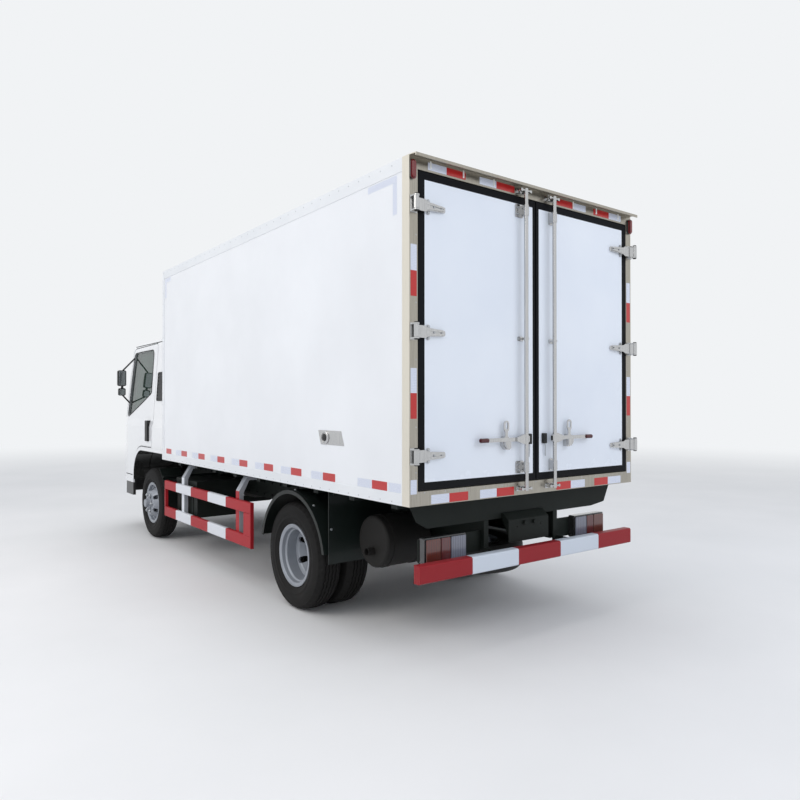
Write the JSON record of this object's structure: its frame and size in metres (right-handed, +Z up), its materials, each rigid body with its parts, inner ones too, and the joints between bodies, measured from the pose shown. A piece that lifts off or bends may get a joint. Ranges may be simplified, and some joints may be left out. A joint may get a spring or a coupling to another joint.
{
  "type": "refrigerated truck",
  "caption": "Light refrigerated truck: tilting forward-control cab, insulated box with twin rear doors, steered front wheels and twin rear wheels.",
  "frame": {"origin": "on the ground, on the centre line, midway along the overall length", "axes": "+X to the truck's left, +Y to its rear, +Z up"},
  "size_m": [2.25, 5.995, 2.885],
  "materials": {
    "chassis_black": "semi-gloss black chassis paint",
    "engine_grey": "bare casting",
    "tank_black": "satin black paint",
    "exhaust_steel": "heat-proof black paint",
    "panel_white": "gloss white gel-coat panel",
    "rail_white": "white painted aluminium",
    "unit_white": "moulded white cover",
    "stainless": "brushed stainless steel",
    "lamp_red": "moulded lens",
    "lamp_clear": "clear moulded lens",
    "bar_red": "red and white banded paint",
    "guard_red": "red and white banded paint",
    "fender_black": "black painted sheet",
    "cab_white": "gloss white paint",
    "trim_black": "grained black plastic",
    "trim_grey": "grained grey plastic",
    "seat_fabric": "woven grey cloth",
    "window_glass": "green-tinted glass",
    "seal_rubber": "extruded black rubber",
    "rim_silver": "silver painted steel",
    "tyre_rubber": "black tyre rubber"
  },
  "bodies": {
    "chassis": {"chassis_frame": "chassis_black", "leaf_springs": "chassis_black", "front_axle": "chassis_black", "rear_axle": "chassis_black", "engine": "engine_grey", "fuel_tank": "tank_black", "battery_box": "chassis_black", "silencer": "exhaust_steel", "spare_wheel": "tyre_rubber", "box_subframe": "chassis_black", "box_floor": "panel_white", "box_side_left": "panel_white", "box_side_right": "panel_white", "box_front_wall": "panel_white", "box_roof": "panel_white", "box_edge_rails": "rail_white", "box_rear_frame": "stainless", "box_fittings": "stainless", "rear_lamps": "lamp_red", "rear_valance": "chassis_black", "underrun_bar": "bar_red", "rear_fenders": "fender_black", "side_guards": "guard_red", "refrigeration_unit": "unit_white", "evaporator": "unit_white", "tow_eyes": "chassis_black", "front_mudguards": "fender_black"},
    "cab": {"cab_body": "cab_white", "cab_front": "cab_white", "grille": "trim_black", "headlamps": "lamp_clear", "cab_glass": "window_glass", "front_bumper": "cab_white", "dashboard": "trim_grey", "steering_wheel": "trim_black", "seats": "seat_fabric"},
    "cab_door_left": {"cab_door_left": "cab_white", "cab_door_left_glass": "window_glass", "cab_door_left_fittings": "trim_black"},
    "rear_door_left": {"rear_door_left": "panel_white", "rear_door_left_seal": "seal_rubber", "rear_door_left_hardware": "stainless"},
    "front_left_knuckle": {"front_left_knuckle": "chassis_black"},
    "front_left_wheel": {"front_left_rim": "rim_silver", "front_left_tyre": "tyre_rubber"},
    "rear_left_wheel": {"rear_left_rims": "rim_silver", "rear_left_tyres": "tyre_rubber"},
    "cab_door_right": {"cab_door_right": "cab_white", "cab_door_right_glass": "window_glass", "cab_door_right_fittings": "trim_black"},
    "rear_door_right": {"rear_door_right": "panel_white", "rear_door_right_seal": "seal_rubber", "rear_door_right_hardware": "stainless"},
    "front_right_knuckle": {"front_right_knuckle": "chassis_black"},
    "front_right_wheel": {"front_right_rim": "rim_silver", "front_right_tyre": "tyre_rubber"},
    "rear_right_wheel": {"rear_right_rims": "rim_silver", "rear_right_tyres": "tyre_rubber"}
  },
  "joints": [
    {"name": "cab_tilt", "type": "hinge", "parent": "chassis", "child": "cab", "pos_m": [0, -2.7675, 0.69], "axis": [1, 0, 0], "range_deg": [0, 45]},
    {"name": "cab_door_left_hinge", "type": "hinge", "parent": "cab", "child": "cab_door_left", "pos_m": [0.955, -2.838, 1.3], "axis": [0, 0, -1], "range_deg": [0, 68]},
    {"name": "rear_door_left_hinge", "type": "hinge", "parent": "chassis", "child": "rear_door_left", "pos_m": [1.025, 2.9825, 1.896], "axis": [0, 0, -1], "range_deg": [0, 255]},
    {"name": "front_left_steer", "type": "hinge", "parent": "chassis", "child": "front_left_knuckle", "pos_m": [0.715, -1.8775, 0.3875], "axis": [0, 0, 1], "range_deg": [-36, 36]},
    {"name": "front_left_roll", "type": "hinge", "parent": "front_left_knuckle", "child": "front_left_wheel", "pos_m": [0.87, -1.8775, 0.3875], "axis": [1, 0, 0], "continuous": true},
    {"name": "rear_left_roll", "type": "hinge", "parent": "chassis", "child": "rear_left_wheel", "pos_m": [0.775, 1.4825, 0.3875], "axis": [1, 0, 0], "continuous": true},
    {"name": "cab_door_right_hinge", "type": "hinge", "parent": "cab", "child": "cab_door_right", "pos_m": [-0.955, -2.838, 1.3], "axis": [0, 0, 1], "range_deg": [0, 68]},
    {"name": "rear_door_right_hinge", "type": "hinge", "parent": "chassis", "child": "rear_door_right", "pos_m": [-1.025, 2.9825, 1.896], "axis": [0, 0, 1], "range_deg": [0, 255]},
    {"name": "front_right_steer", "type": "hinge", "parent": "chassis", "child": "front_right_knuckle", "pos_m": [-0.715, -1.8775, 0.3875], "axis": [0, 0, 1], "range_deg": [-36, 36]},
    {"name": "front_right_roll", "type": "hinge", "parent": "front_right_knuckle", "child": "front_right_wheel", "pos_m": [-0.87, -1.8775, 0.3875], "axis": [1, 0, 0], "continuous": true},
    {"name": "rear_right_roll", "type": "hinge", "parent": "chassis", "child": "rear_right_wheel", "pos_m": [-0.775, 1.4825, 0.3875], "axis": [1, 0, 0], "continuous": true}
  ],
  "couplings": [
    {"joint": "front_right_steer", "follows": "front_left_steer", "ratio": 1}
  ]
}
